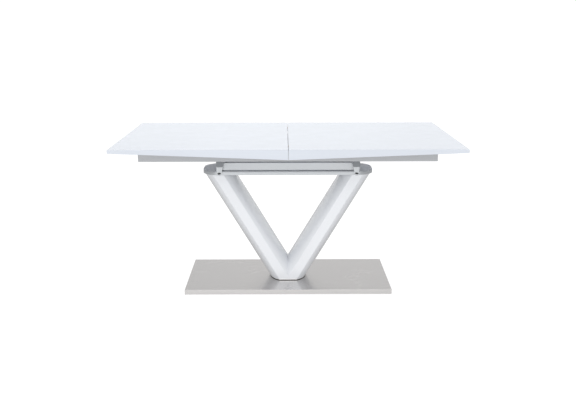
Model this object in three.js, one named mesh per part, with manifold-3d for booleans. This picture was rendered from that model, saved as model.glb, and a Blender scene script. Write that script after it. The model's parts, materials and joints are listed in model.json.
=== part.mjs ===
// Extending dining table on a V pedestal.
//
// Two half tops run apart on channel rails and leave room for a loose leaf, which is stored
// flat between the rails. A pinion between two racks keeps the halves moving together, and a
// hook latch under the front edge holds them shut.
//
// Millimetres, +Z up. The origin is on the floor under the middle of the top. +X runs along
// the table, and -Y is the front.

import * as THREE from 'three';
import { mergeVertices } from 'three/addons/utils/BufferGeometryUtils.js';
import Module from 'manifold-3d';

const wasm = await Module();
wasm.setup();

// ---------------------------------------------------------------- driving dimensions

const tableLength = 1600;
const tableWidth = 900;
const tableHeight = 750;
const halfTravel = 200;
const gap = 0.3;
const boltSides = 16;

const boardThickness = 16;
const skirtThickness = 18;
const skirtDrop = 30;
const seam = 2;

const baseLength = 1010;
const baseWidth = 490;
const baseHeight = 25;
const sheetThickness = 1.5;
const coverLift = 2;
const glideRadius = 20;
const glideHeight = 3;
const glideInset = 65;

const gasketThickness = 2.2;
const legLean = 0.6;
const legFootX = 15;
const legHalfWidth = 75;
const legHalfDepth = 109.5;
const legTipCut = 6.5;

const plateThickness = 17.7;
const plateEdgeRoom = 12;
const plateCorner = 85;
const plateMargin = 3;
const plateLip = 1.5;
const grooveHeight = 1.4;
const grooveDepth = 3;

const lowerRailHeight = 43.7;
const lowerRailDepth = 40;
const lowerRailInset = 15;
const crossBarWidth = 34;
const crossBarHeight = 26;
const crossBarInset = 96;
const tubeWall = 2.5;
const tubeCorner = 5;
const capThickness = 3;
const plugDepth = 12;

const strapOffset = 12;
const strapThickness = 4;
const strapInnerReach = 21;
const strapOuterReach = 14;
const strapEndRadius = 12;
const strapFlange = 34;

const railWidth = 20;
const railHeight = 50;
const railWall = 2.5;
const railFloor = 3;
const railSlot = 8;
const railInset = 95;
const railHeadroom = 27.1;
const tieWidth = 30;
const tieHeight = 18;
const tieLift = 5;
const middleTieX = 250;

const footSideRoom = 0.5;
const footHeight = 20;
const stemWidth = 5;
const runnerFlangeWidth = 28;
const runnerFlangeHeight = 4;
const runnerInset = 30;
const runnerClearance = 0.4;

const leafThickness = 16;
const leafSideRoom = 6;
const leafRise = 0.5;
const stopWidth = 15;
const stopRoom = 1;

const dowelRadius = 4;
const dowelOut = 12;
const dowelIn = 15;
const dowelSpacing = 600;

const boltRadius = 4;
const boltHeadRadius = 8;
const boltHeadHeight = 5;
const legBoltX = 40;
const legBoltY = 55;
const legBoltReach = 45;
const plateScrewInset = 16;
const strapBoltReach = 25;
const strapBoltHeadWidth = 16;
const strapBoltHeadHeight = 8;

const gearModule = 3;
const pinionTeeth = 24;
const pressureAngle = THREE.MathUtils.degToRad(20);
const backlash = 0.35;
const pinionThickness = 14;
const rackThickness = 10;
const rackBacking = 6.25;
const rackRailRoom = 12;
const hangerStart = 70;
const hangerLength = 80;
const hangerFlange = 30;
const hangerFlangeHeight = 4;
const axleRadius = 6;
const axleHeadRadius = 10;
const axleHeadHeight = 3;
const bracketThickness = 6;
const bracketFlange = 4;
const bracketWidth = 44;
const bracketReach = 16;
const pinionDrop = 28;

const latchPivotX = 45;
const latchReach = 70;
const latchEdgeRoom = 120;
const latchPlateThickness = 3.7;
const latchThickness = 5;
const latchHookBand = 20;
const latchStudRadius = 4;
const latchStudLength = 13;
const latchHeadRadius = 7;
const latchHeadHeight = 3;
const latchClearance = 0.5;
const latchOpenTurn = THREE.MathUtils.degToRad(90);
const latchHandleTurn = THREE.MathUtils.degToRad(-110);
const latchHandleLength = 85;
const latchHandleWidth = 18;

// ---------------------------------------------------------------- derived places

const baseTop = baseHeight;
const boardUnderside = tableHeight - boardThickness;
const railTop = boardUnderside - railHeadroom;
const railBottom = railTop - railHeight;
const crossBarTop = railBottom - gap;
const crossBarBottom = crossBarTop - crossBarHeight;
const lowerRailTop = crossBarBottom - gap;
const lowerRailBottom = lowerRailTop - lowerRailHeight;
const plateTop = lowerRailBottom - gap;
const plateBottom = plateTop - plateThickness;
const legTop = plateBottom - gap;
const gasketBottom = baseTop + gap;
const legBottom = gasketBottom + gasketThickness + gap;
const legTopX = legFootX + legLean * (legTop - baseTop);
const plateHalfLength = legTopX + legHalfWidth + plateMargin;
const legFlatY = legHalfDepth - legTipCut;
const plateDepth = 2 * (legFlatY + plateEdgeRoom);
const lowerRailFaceY = plateDepth / 2 - lowerRailInset;
const crossBarX = plateHalfLength - crossBarInset;
const strapX = crossBarX + strapOffset;

const leafLength = tableWidth;
const leafWidth = 2 * halfTravel;
const leafCentreY = -dowelOut / 2;
const railInnerY = (leafWidth + dowelOut) / 2 + leafSideRoom;
const railOuterY = railInnerY + railWidth;
const railCentreY = railInnerY + railWidth / 2;
const railHalfLength = tableLength / 2 - railInset;
const footWidth = railWidth - 2 * (railWall + footSideRoom);
const tieBottom = railBottom + tieLift;
const tieTop = tieBottom + tieHeight;
const leafBottom = tieTop + leafRise;

const pitch = Math.PI * gearModule;
const pinionRadius = gearModule * pinionTeeth / 2;
const addendum = gearModule;
const dedendum = 1.25 * gearModule;
const rackWidth = rackBacking + dedendum;
const pinionY = railOuterY + rackRailRoom + rackWidth + pinionRadius;
const pinionTop = boardUnderside - pinionDrop;
const pinionBottom = pinionTop - pinionThickness;
const rackBottom = (pinionTop + pinionBottom - rackThickness) / 2;
const rackTop = rackBottom + rackThickness;
const bracketTop = pinionBottom - 2;
const bracketBottom = bracketTop - bracketThickness;

const latchY = -tableWidth / 2 + latchEdgeRoom;
const latchPlateBottom = boardUnderside - gap - latchPlateThickness;
const latchTop = latchPlateBottom - latchStudLength / 2 + latchThickness / 2;

const boardMiddle = boardUnderside + boardThickness / 2;
const dowelYs = [-dowelSpacing / 2, dowelSpacing / 2];
const ends = [['left', -1], ['right', 1]];
const faces = [['front', -1], ['back', 1]];

// ---------------------------------------------------------------- materials

function finish(color, roughness, metalness) {
  return new THREE.MeshStandardMaterial({ color, roughness, metalness });
}

const whiteLacquer = finish(0xf0f3f8, 0.18, 0);
const brushedSteel = finish(0xb9b8ba, 0.32, 1);
const silverMetal = finish(0xb4b8bd, 0.38, 0.9);
const greyPlastic = finish(0x8a8e92, 0.5, 0);
const whitePlastic = finish(0xe4e4e0, 0.45, 0);
const blackSteel = finish(0x1d1e20, 0.4, 0.8);
const zincSteel = finish(0xa9acb0, 0.35, 1);
const coreBoard = finish(0xb08d62, 0.9, 0);
const beech = finish(0xcfa873, 0.6, 0);
const blackRubber = finish(0x202020, 0.85, 0);

// ---------------------------------------------------------------- solids

function solidOf(geometry) {
  const bare = geometry.clone();
  bare.deleteAttribute('normal');
  bare.deleteAttribute('uv');
  const merged = mergeVertices(bare);
  return new wasm.Manifold(new wasm.Mesh({
    numProp: 3,
    vertProperties: new Float32Array(merged.attributes.position.array),
    triVerts: new Uint32Array(merged.index.array),
  }));
}

function geometryOf(solid) {
  const mesh = solid.getMesh();
  const geometry = new THREE.BufferGeometry();
  geometry.setAttribute('position', new THREE.BufferAttribute(mesh.vertProperties, 3));
  geometry.setIndex(new THREE.BufferAttribute(mesh.triVerts, 1));
  geometry.computeVertexNormals();
  return geometry;
}

function cut(geometry, ...tools) {
  return geometryOf(tools.reduce((solid, tool) => solid.subtract(solidOf(tool)), solidOf(geometry)));
}

function join(geometry, ...others) {
  return geometryOf(others.reduce((solid, other) => solid.add(solidOf(other)), solidOf(geometry)));
}

function keepInside(geometry, region) {
  return geometryOf(solidOf(geometry).intersect(solidOf(region)));
}

// A box between two opposite corners.
function block(x0, x1, y0, y1, z0, z1) {
  const geometry = new THREE.BoxGeometry(x1 - x0, y1 - y0, z1 - z0);
  return geometry.translate((x0 + x1) / 2, (y0 + y1) / 2, (z0 + z1) / 2);
}

// A round bar from one point to another.
function rod(radius, from, to, sides = boltSides) {
  const start = new THREE.Vector3(...from);
  const along = new THREE.Vector3(...to).sub(start);
  const geometry = new THREE.CylinderGeometry(radius, radius, along.length(), sides);
  const turn = new THREE.Quaternion().setFromUnitVectors(
    new THREE.Vector3(0, 1, 0), along.clone().normalize());
  geometry.applyQuaternion(turn);
  return geometry.translate(...start.addScaledVector(along, 0.5).toArray());
}

// A turned piece on +Z, from steps of [radius, height reached].
function turned(bottom, steps, sides = boltSides) {
  const profile = [new THREE.Vector2(0, bottom)];
  let height = bottom;
  for (const [radius, top] of steps) {
    profile.push(new THREE.Vector2(radius, height), new THREE.Vector2(radius, top));
    height = top;
  }
  profile.push(new THREE.Vector2(0, height));
  return geometryOf(solidOf(new THREE.LatheGeometry(profile, sides).rotateX(Math.PI / 2)));
}

function extruded(shape, depth, curveSegments) {
  return new THREE.ExtrudeGeometry(shape, { depth, bevelEnabled: false, curveSegments });
}

// The shape's own x and y become the two axes across the direction of the extrusion.
function extrudeX(shape, x0, x1, curveSegments = 2) {
  const frame = new THREE.Matrix4().makeBasis(
    new THREE.Vector3(0, 1, 0), new THREE.Vector3(0, 0, 1), new THREE.Vector3(1, 0, 0));
  return extruded(shape, x1 - x0, curveSegments).applyMatrix4(frame).translate(x0, 0, 0);
}

function extrudeY(shape, y0, y1, curveSegments = 2) {
  const frame = new THREE.Matrix4().makeBasis(
    new THREE.Vector3(1, 0, 0), new THREE.Vector3(0, 0, 1), new THREE.Vector3(0, -1, 0));
  return extruded(shape, y1 - y0, curveSegments).applyMatrix4(frame).translate(0, y1, 0);
}

function extrudeZ(shape, z0, z1, curveSegments = 4) {
  return extruded(shape, z1 - z0, curveSegments).translate(0, 0, z0);
}

function polygon(points) {
  return new THREE.Shape(points.map(([x, y]) => new THREE.Vector2(x, y)));
}

function roundedRect(x0, x1, y0, y1, radius, Kind = THREE.Shape) {
  const outline = new Kind();
  outline.moveTo(x0 + radius, y0);
  outline.lineTo(x1 - radius, y0);
  outline.absarc(x1 - radius, y0 + radius, radius, -Math.PI / 2, 0, false);
  outline.lineTo(x1, y1 - radius);
  outline.absarc(x1 - radius, y1 - radius, radius, 0, Math.PI / 2, false);
  outline.lineTo(x0 + radius, y1);
  outline.absarc(x0 + radius, y1 - radius, radius, Math.PI / 2, Math.PI, false);
  outline.lineTo(x0, y0 + radius);
  outline.absarc(x0 + radius, y0 + radius, radius, Math.PI, 1.5 * Math.PI, false);
  return outline;
}

// A rectangular tube's section with rounded corners.
function tubeSection(x0, x1, y0, y1) {
  const section = roundedRect(x0, x1, y0, y1, tubeCorner);
  section.holes.push(roundedRect(
    x0 + tubeWall, x1 - tubeWall, y0 + tubeWall, y1 - tubeWall, tubeCorner - tubeWall, THREE.Path));
  return section;
}

function piece(parent, name, material, geometry, position = [0, 0, 0]) {
  const mesh = new THREE.Mesh(geometry, material);
  mesh.name = name;
  mesh.position.set(...position);
  parent.add(mesh);
}

function inOrder(a, b) {
  return a < b ? [a, b] : [b, a];
}

// Every pair of signs, in the order front left, front right, back left, back right.
function corners(x, y) {
  return [[-x, -y], [x, -y], [-x, y], [x, y]];
}

// ---------------------------------------------------------------- base

const legBoltPlaces = corners(legBoltX, legBoltY);
const counterboreTop = glideHeight + gap + boltHeadHeight + 2;

function buildBase(parent) {
  const coreX = baseLength / 2 - sheetThickness - gap;
  const coreY = baseWidth / 2 - sheetThickness - gap;
  const coreBottom = glideHeight + gap;
  const coreTop = baseTop - sheetThickness - gap;
  const sheetBottom = baseTop - sheetThickness;

  const boltHole = ([x, y]) => rod(boltRadius + gap, [x, y, 0], [x, y, baseTop + 1]);
  const counterbore = ([x, y]) => rod(boltHeadRadius + 1, [x, y, 0], [x, y, counterboreTop + gap]);
  const core = cut(
    block(-coreX, coreX, -coreY, coreY, coreBottom, coreTop),
    ...legBoltPlaces.map(boltHole), ...legBoltPlaces.map(counterbore));
  piece(parent, 'base_core', coreBoard, core);

  const insideX = baseLength / 2 - sheetThickness;
  const insideY = baseWidth / 2 - sheetThickness;
  const cover = cut(
    block(-baseLength / 2, baseLength / 2, -baseWidth / 2, baseWidth / 2, coverLift, baseTop),
    block(-insideX, insideX, -insideY, insideY, 0, sheetBottom),
    ...legBoltPlaces.map(boltHole));
  piece(parent, 'base_cover', brushedSteel, cover);

  corners(baseLength / 2 - glideInset, baseWidth / 2 - glideInset).forEach(([x, y], index) => {
    const glide = turned(0, [[glideRadius, glideHeight]], 2 * boltSides);
    piece(parent, `base_glide_${index + 1}`, blackRubber, glide, [x, y, 0]);
  });

  legBoltPlaces.forEach(([x, y], index) => {
    const headBottom = counterboreTop - boltHeadHeight;
    const bolt = turned(
      headBottom, [[boltHeadRadius, counterboreTop], [boltRadius, baseTop + legBoltReach]]);
    piece(parent, `leg_bolt_${index + 1}`, zincSteel, bolt, [x, y, 0]);
  });
}

// ---------------------------------------------------------------- legs and the plate on them

const plateScrewPlaces = corners(legTopX - plateScrewInset, legBoltY);
const screwHeadBottom = plateTop - boltHeadHeight - 1;
const screwEnd = legTop - legBoltReach;

// A lens with its front and back tips cut flat, level with the floor.
function legSection() {
  const turn = Math.asin(legFlatY / legHalfDepth);
  const section = new THREE.Shape();
  section.absellipse(0, 0, legHalfWidth, legHalfDepth, -turn, turn, false);
  section.absellipse(0, 0, legHalfWidth, legHalfDepth, Math.PI - turn, Math.PI + turn, false);
  return section;
}

// The gasket has the outline of both feet together.
function buildGasket(parent) {
  const footX = legFootX + legLean * (legBottom - baseTop);
  const foot = () => extrudeZ(legSection(), gasketBottom, gasketBottom + gasketThickness, 16);
  const boltHole = ([x, y]) =>
    rod(boltRadius + gap, [x, y, gasketBottom - 1], [x, y, legBottom + 1]);
  const gasket = cut(
    join(foot().translate(-footX, 0, 0), foot().translate(footX, 0, 0)),
    ...legBoltPlaces.map(boltHole));
  piece(parent, 'foot_gasket', blackRubber, gasket);
}

function buildLegs(parent) {
  for (const [end, sign] of ends) {
    const upright = extrudeZ(legSection(), legBottom, legTop, 16);
    const lean = new THREE.Matrix4().set(
      1, 0, sign * legLean, sign * (legFootX - legLean * baseTop),
      0, 1, 0, 0,
      0, 0, 1, 0,
      0, 0, 0, 1);
    const [from, to] = inOrder(sign * gap / 2, sign * 2 * plateHalfLength);
    const ownSide = block(from, to, -legHalfDepth, legHalfDepth, 0, tableHeight);
    const onThisEnd = ([x]) => x * sign > 0;
    const footHole = ([x, y]) =>
      rod(boltRadius + gap, [x, y, 0], [x, y, baseTop + legBoltReach + 1]);
    const headHole = ([x, y]) => rod(boltRadius + gap, [x, y, screwEnd - 1], [x, y, tableHeight]);
    const leg = cut(
      keepInside(upright.applyMatrix4(lean), ownSide),
      ...legBoltPlaces.filter(onThisEnd).map(footHole),
      ...plateScrewPlaces.filter(onThisEnd).map(headHole));
    piece(parent, `${end}_leg`, whiteLacquer, leg);
  }
}

const strapBoltZ = (plateTop + plateBottom) / 2;
const strapBoltHole = (x, sign) => rod(
  boltRadius + gap,
  [x, sign * (plateDepth / 2 - strapBoltReach - 1), strapBoltZ],
  [x, sign * (plateDepth / 2 + strapThickness + 10), strapBoltZ]);

function plateOutline(inset) {
  const halfLength = plateHalfLength - inset;
  const halfDepth = plateDepth / 2 - inset;
  return roundedRect(-halfLength, halfLength, -halfDepth, halfDepth, plateCorner - inset);
}

// A shadow groove runs round the edge of the plate, just under its top face.
function buildLegPlate(parent) {
  const grooveTop = plateTop - plateLip;
  const grooveBottom = grooveTop - grooveHeight;
  const groove = cut(
    extrudeZ(plateOutline(-1), grooveBottom, grooveTop, 10),
    extrudeZ(plateOutline(grooveDepth), grooveBottom - 1, grooveTop + 1, 10));
  const shankHole = ([x, y]) => rod(boltRadius + gap, [x, y, plateBottom - 1], [x, y, plateTop + 1]);
  const headHole = ([x, y]) =>
    rod(boltHeadRadius + gap, [x, y, screwHeadBottom - gap], [x, y, plateTop + 1]);
  const edgeHoles = [-strapX, strapX].flatMap((x) => [strapBoltHole(x, -1), strapBoltHole(x, 1)]);
  const plate = cut(
    extrudeZ(plateOutline(0), plateBottom, plateTop, 10), groove,
    ...plateScrewPlaces.map(shankHole), ...plateScrewPlaces.map(headHole), ...edgeHoles);
  piece(parent, 'leg_plate', silverMetal, plate);

  plateScrewPlaces.forEach(([x, y], index) => {
    const screw = turned(screwEnd, [[boltRadius, screwHeadBottom], [boltHeadRadius, plateTop - 1]]);
    piece(parent, `plate_screw_${index + 1}`, zincSteel, screw, [x, y, 0]);
  });
}

// ---------------------------------------------------------------- carriage under the top

function buildLowerRails(parent) {
  const halfLength = crossBarX + crossBarWidth / 2;
  for (const [face, sign] of faces) {
    const [from, to] = inOrder(sign * lowerRailFaceY, sign * (lowerRailFaceY - lowerRailDepth));
    const section = tubeSection(from, to, lowerRailBottom, lowerRailTop);
    piece(parent, `lower_rail_${face}`, silverMetal, extrudeX(section, -halfLength, halfLength));
  }
}

function buildCrossBars(parent) {
  const halfWidth = crossBarWidth / 2;
  const barEnd = railOuterY - capThickness - gap;
  const plugHalfWidth = halfWidth - tubeWall - gap;
  const plugBottom = crossBarBottom + tubeWall + gap;
  const plugTop = crossBarTop - tubeWall - gap;
  for (const [end, sign] of ends) {
    const section = tubeSection(-halfWidth, halfWidth, crossBarBottom, crossBarTop);
    const place = [sign * crossBarX, 0, 0];
    piece(parent, `cross_bar_${end}`, silverMetal, extrudeY(section, -barEnd, barEnd), place);

    for (const [face, out] of faces) {
      const [shellFrom, shellTo] = inOrder(out * (barEnd + gap), out * railOuterY);
      const [plugFrom, plugTo] = inOrder(out * (barEnd - plugDepth), out * (barEnd + 1));
      const shell = extrudeY(
        roundedRect(-halfWidth, halfWidth, crossBarBottom, crossBarTop, tubeCorner), shellFrom, shellTo);
      const plug = extrudeY(
        roundedRect(-plugHalfWidth, plugHalfWidth, plugBottom, plugTop, tubeCorner - tubeWall),
        plugFrom, plugTo);
      piece(parent, `cross_bar_cap_${face}_${end}`, greyPlastic, join(shell, plug), place);
    }
  }
}

// Each strap hangs from a cross bar, narrows towards the end of the table and is bolted to the
// edge of the leg plate by a bolt with an oval head.
function buildStraps(parent) {
  const strapTop = crossBarBottom - gap;
  const near = plateDepth / 2 + gap;
  const oval = new THREE.Shape();
  oval.absellipse(0, 0, strapBoltHeadWidth / 2, strapBoltHeadHeight / 2, 0, 2 * Math.PI, false);
  for (const [end, sign] of ends) {
    const [leftReach, rightReach] = sign < 0
      ? [strapOuterReach, strapInnerReach] : [strapInnerReach, strapOuterReach];
    const tongue = new THREE.Shape();
    tongue.moveTo(-leftReach, strapTop);
    tongue.lineTo(-strapEndRadius, strapBoltZ);
    tongue.absarc(0, strapBoltZ, strapEndRadius, Math.PI, 2 * Math.PI, false);
    tongue.lineTo(rightReach, strapTop);
    for (const [face, out] of faces) {
      const x = sign * strapX;
      const [from, to] = inOrder(out * near, out * (near + strapThickness));
      const [flangeFrom, flangeTo] = inOrder(out * near, out * (near + strapFlange));
      const flange = block(
        -leftReach, rightReach, flangeFrom, flangeTo, strapTop - strapThickness, strapTop);
      const strap = cut(
        join(extrudeY(tongue, from, to, 5), flange), strapBoltHole(0, out));
      piece(parent, `strap_${face}_${end}`, silverMetal, strap, [x, 0, 0]);

      const headBottom = near + strapThickness + gap;
      const [headFrom, headTo] = inOrder(out * headBottom, out * (headBottom + boltHeadHeight));
      const shankEnd = out * (plateDepth / 2 - strapBoltReach);
      const bolt = join(
        rod(boltRadius, [0, shankEnd, 0], [0, (headFrom + headTo) / 2, 0]),
        extrudeY(oval, headFrom, headTo, 8));
      piece(parent, `strap_bolt_${face}_${end}`, blackSteel, bolt, [x, 0, strapBoltZ]);
    }
  }
}

function buildLongRails(parent) {
  const half = railWidth / 2;
  const inside = half - railWall;
  const lip = railSlot / 2;
  const section = polygon([
    [-half, railBottom], [half, railBottom], [half, railTop], [lip, railTop],
    [lip, railTop - railFloor], [inside, railTop - railFloor],
    [inside, railBottom + railFloor], [-inside, railBottom + railFloor],
    [-inside, railTop - railFloor], [-lip, railTop - railFloor], [-lip, railTop], [-half, railTop],
  ]);
  for (const [face, sign] of faces) {
    const rail = extrudeX(section, -railHalfLength, railHalfLength);
    piece(parent, `long_rail_${face}`, silverMetal, rail, [0, sign * railCentreY, 0]);
  }
  const tieEnd = railInnerY - gap;
  const tieSection = () => tubeSection(-tieWidth / 2, tieWidth / 2, tieBottom, tieTop);
  const endTieX = railHalfLength - tieWidth / 2;
  [-endTieX, -middleTieX, middleTieX, endTieX].forEach((x, index) => {
    const tie = extrudeY(tieSection(), -tieEnd, tieEnd);
    piece(parent, `rail_tie_${index + 1}`, silverMetal, tie, [x, 0, 0]);
  });
  const stopEnd = -leafLength / 2 - stopRoom;
  const stop = block(
    stopEnd - stopWidth, stopEnd, -tieEnd, tieEnd, tieBottom, leafBottom + leafThickness);
  piece(parent, 'leaf_stop', silverMetal, stop);
}

// ---------------------------------------------------------------- rack and pinion

function involute(angle) {
  return Math.tan(angle) - angle;
}

// Pinion outline with a space between teeth on -Y.
function pinionOutline() {
  const baseRadius = pinionRadius * Math.cos(pressureAngle);
  const tipRadius = pinionRadius + addendum;
  const rootRadius = pinionRadius - dedendum;
  const halfTooth = (pitch / 2 - backlash) / (2 * pinionRadius);
  const flankSteps = 4;
  const points = [];
  for (let tooth = 0; tooth < pinionTeeth; tooth += 1) {
    const middle = -Math.PI / 2 + (tooth + 0.5) * 2 * Math.PI / pinionTeeth;
    const flank = [];
    for (let step = 0; step <= flankSteps; step += 1) {
      const radius = baseRadius + (tipRadius - baseRadius) * step / flankSteps;
      const half = halfTooth + involute(pressureAngle) - involute(Math.acos(baseRadius / radius));
      flank.push([radius, half]);
    }
    flank.unshift([rootRadius, flank[0][1]]);
    for (const [radius, half] of flank) {
      points.push([radius * Math.cos(middle - half), radius * Math.sin(middle - half)]);
    }
    for (const [radius, half] of flank.reverse()) {
      points.push([radius * Math.cos(middle + half), radius * Math.sin(middle + half)]);
    }
  }
  return polygon(points);
}

// Rack outline on the X axis as its pitch line, with its back at -Y and teeth pointing to +Y.
function rackOutline(from, to, back) {
  const slope = Math.tan(pressureAngle);
  const halfPitchWidth = (pitch / 2 - backlash) / 2;
  const halfTip = halfPitchWidth - addendum * slope;
  const halfRoot = halfPitchWidth + dedendum * slope;
  const first = Math.ceil((from + halfRoot) / pitch);
  const last = Math.floor((to - halfRoot) / pitch);
  const points = [[from, back], [to, back], [to, -dedendum]];
  for (let tooth = last; tooth >= first; tooth -= 1) {
    const x = tooth * pitch;
    points.push([x + halfRoot, -dedendum], [x + halfTip, addendum]);
    points.push([x - halfTip, addendum], [x - halfRoot, -dedendum]);
  }
  points.push([from, -dedendum]);
  return polygon(points);
}

const toothedFrom = -4 * pitch;
const toothedTo = halfTravel + 4 * pitch;
const hangerTop = boardUnderside - gap;

// A rack is bolted under one half by its hanger and reaches past the pinion under the other.
function rackGeometry() {
  const plain = block(
    -hangerStart - hangerLength, toothedFrom + 1, -rackWidth, -dedendum, rackBottom, rackTop);
  const toothed = extrudeZ(rackOutline(toothedFrom, toothedTo, -rackWidth), rackBottom, rackTop);
  const hanger = block(
    -hangerStart - hangerLength, -hangerStart, -rackWidth, -dedendum, rackBottom, hangerTop);
  const flange = block(
    -hangerStart - hangerLength, -hangerStart, -rackWidth, -rackWidth + hangerFlange,
    hangerTop - hangerFlangeHeight, hangerTop);
  return join(toothed, plain, hanger, flange);
}

function buildPinionMount(parent) {
  const face = railOuterY + gap;
  const section = polygon([
    [face, railBottom + 2], [face + bracketFlange, railBottom + 2],
    [face + bracketFlange, bracketBottom], [pinionY + bracketReach, bracketBottom],
    [pinionY + bracketReach, bracketTop], [face, bracketTop],
  ]);
  const bracket = cut(
    extrudeX(section, -bracketWidth / 2, bracketWidth / 2),
    rod(axleRadius + gap, [0, pinionY, bracketBottom - 5], [0, pinionY, bracketTop + 5]));
  piece(parent, 'pinion_bracket', zincSteel, bracket);

  const headTop = bracketBottom - gap;
  const capBottom = pinionTop + gap;
  const axle = turned(headTop - axleHeadHeight, [
    [axleHeadRadius, headTop], [axleRadius, capBottom], [axleHeadRadius, capBottom + axleHeadHeight],
  ], 2 * boltSides);
  piece(parent, 'pinion_axle', zincSteel, axle, [0, pinionY, 0]);
}

function buildPinion(parent) {
  const bore = rod(axleRadius + gap / 2, [0, 0, pinionBottom - 1], [0, 0, pinionTop + 1], 2 * boltSides);
  const pinion = cut(extrudeZ(pinionOutline(), pinionBottom, pinionTop), bore);
  piece(parent, 'sync_pinion', whitePlastic, pinion, [0, pinionY, 0]);
}

// ---------------------------------------------------------------- the two half tops

function boardDowelHole(y) {
  return rod(dowelRadius + gap, [-dowelIn - 1, y, boardMiddle], [dowelIn + 1, y, boardMiddle]);
}

// A board with skirts front and back, deepest where the halves meet.
function buildTop(parent, end, sign) {
  const meet = sign * seam / 2;
  const far = sign * tableLength / 2;
  const profile = polygon([
    [meet, tableHeight], [far, tableHeight], [far, boardUnderside], [meet, boardUnderside - skirtDrop],
  ]);
  const insideY = tableWidth / 2 - skirtThickness;
  const hollow = block(
    -tableLength, tableLength, -insideY, insideY, boardUnderside - skirtDrop - 1, boardUnderside);
  const top = cut(
    extrudeY(profile, -tableWidth / 2, tableWidth / 2), hollow,
    ...dowelYs.map((y) => boardDowelHole(y)));
  piece(parent, `${end}_top`, whiteLacquer, top);
}

function buildRunners(parent, end, sign) {
  const stem = stemWidth / 2;
  const foot = footWidth / 2;
  const footBottom = railBottom + railFloor + runnerClearance;
  const footTop = footBottom + footHeight;
  const flange = runnerFlangeWidth / 2;
  const top = boardUnderside - gap;
  const flangeBottom = top - runnerFlangeHeight;
  const section = polygon([
    [-foot, footBottom], [foot, footBottom], [foot, footTop], [stem, footTop],
    [stem, flangeBottom], [flange, flangeBottom], [flange, top],
    [-flange, top], [-flange, flangeBottom], [-stem, flangeBottom],
    [-stem, footTop], [-foot, footTop],
  ]);
  const [from, to] = inOrder(sign * runnerInset, sign * (railHalfLength - runnerInset / 2));
  for (const [face, out] of faces) {
    const runner = extrudeX(section, from, to);
    piece(parent, `${end}_runner_${face}`, zincSteel, runner, [0, out * railCentreY, 0]);
  }
}

function buildHalves(leftHalf, rightHalf) {
  buildTop(leftHalf, 'left', -1);
  buildRunners(leftHalf, 'left', -1);
  piece(leftHalf, 'left_rack', whitePlastic, rackGeometry(), [0, pinionY - pinionRadius, 0]);

  buildTop(rightHalf, 'right', 1);
  buildRunners(rightHalf, 'right', 1);
  const rightRack = rackGeometry().rotateZ(Math.PI);
  piece(rightHalf, 'right_rack', whitePlastic, rightRack, [0, pinionY + pinionRadius, 0]);

  dowelYs.forEach((y, index) => {
    const dowel = rod(dowelRadius, [-dowelOut, 0, 0], [dowelIn, 0, 0]);
    piece(rightHalf, `top_dowel_${index + 1}`, beech, dowel, [0, y, boardMiddle]);
  });
}

// ---------------------------------------------------------------- latch

// A plate under the board with a headed stud hanging from it.
function studPlate(x0, x1, halfDepth) {
  const plateUpper = latchPlateBottom + latchPlateThickness;
  const plate = block(x0, x1, -halfDepth, halfDepth, latchPlateBottom, plateUpper);
  const stud = turned(latchPlateBottom - latchStudLength - latchHeadHeight, [
    [latchHeadRadius, latchPlateBottom - latchStudLength], [latchStudRadius, latchPlateBottom + 1],
  ]);
  return join(plate, stud);
}

function ringBand(inner, outer, from, to) {
  const band = new THREE.Shape();
  band.absarc(0, 0, outer, from, to, false);
  band.absarc(0, 0, inner, to, from, true);
  return band;
}

// The hook swings on the left half's stud. Its curved slot closes round the right half's stud.
function buildLatch(leftHalf, rightHalf, latch) {
  const pivot = [-latchPivotX, latchY, 0];
  const strike = [-latchPivotX + latchReach, latchY, 0];
  piece(leftHalf, 'latch_plate', zincSteel, studPlate(-30, 30, 25), pivot);
  piece(rightHalf, 'latch_strike', zincSteel, studPlate(-16, 26, 18), strike);

  const bottom = latchTop - latchThickness;
  const slotHalf = latchStudRadius + latchClearance;
  const slotBack = -(slotHalf + latchClearance) / latchReach;
  const hookMouth = 0.22;
  const hookBack = -0.5;
  const armWidth = 24;
  const outer = latchReach + latchHookBand / 2;
  const hook = extrudeZ(
    ringBand(latchReach - latchHookBand / 2, outer, hookBack, hookMouth), bottom, latchTop, 5);
  const slot = extrudeZ(
    ringBand(latchReach - slotHalf, latchReach + slotHalf, slotBack, hookMouth + 0.2),
    bottom - 1, latchTop + 1, 5);
  const arm = block(0, latchReach, -armWidth / 2, armWidth / 2, bottom, latchTop);
  arm.rotateZ(hookBack + armWidth / 2 / latchReach);
  const grip = latchHandleWidth / 2;
  const handle = extrudeZ(
    roundedRect(0, latchHandleLength, -grip, grip, grip - gap), bottom, latchTop);
  handle.rotateZ(latchHandleTurn);
  const boss = rod(armWidth / 2, [0, 0, bottom], [0, 0, latchTop], 2 * boltSides);
  const bore = rod(latchStudRadius + gap, [0, 0, bottom - 1], [0, 0, latchTop + 1]);
  const lever = cut(join(hook, arm, handle, boss), slot, bore).rotateZ(-latchOpenTurn);
  piece(latch, 'latch_lever', blackSteel, lever, pivot);
}

// ---------------------------------------------------------------- stored leaf

function buildLeaf(parent) {
  const front = leafCentreY - leafWidth / 2;
  const back = leafCentreY + leafWidth / 2;
  const middle = leafBottom + leafThickness / 2;
  const holes = dowelYs.flatMap((x) => [
    rod(dowelRadius + gap, [x, front - 1, middle], [x, front + dowelOut + 1, middle]),
    rod(dowelRadius + gap, [x, back - dowelIn - gap, middle], [x, back + 1, middle]),
  ]);
  const end = leafLength / 2;
  const leaf = cut(block(-end, end, front, back, leafBottom, leafBottom + leafThickness), ...holes);
  piece(parent, 'extension_leaf', whiteLacquer, leaf);

  dowelYs.forEach((x, index) => {
    const dowel = rod(dowelRadius, [0, -dowelIn, 0], [0, dowelOut, 0]);
    piece(parent, `leaf_dowel_${index + 1}`, beech, dowel, [x, back, middle]);
  });
}

// ---------------------------------------------------------------- assembly

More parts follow.
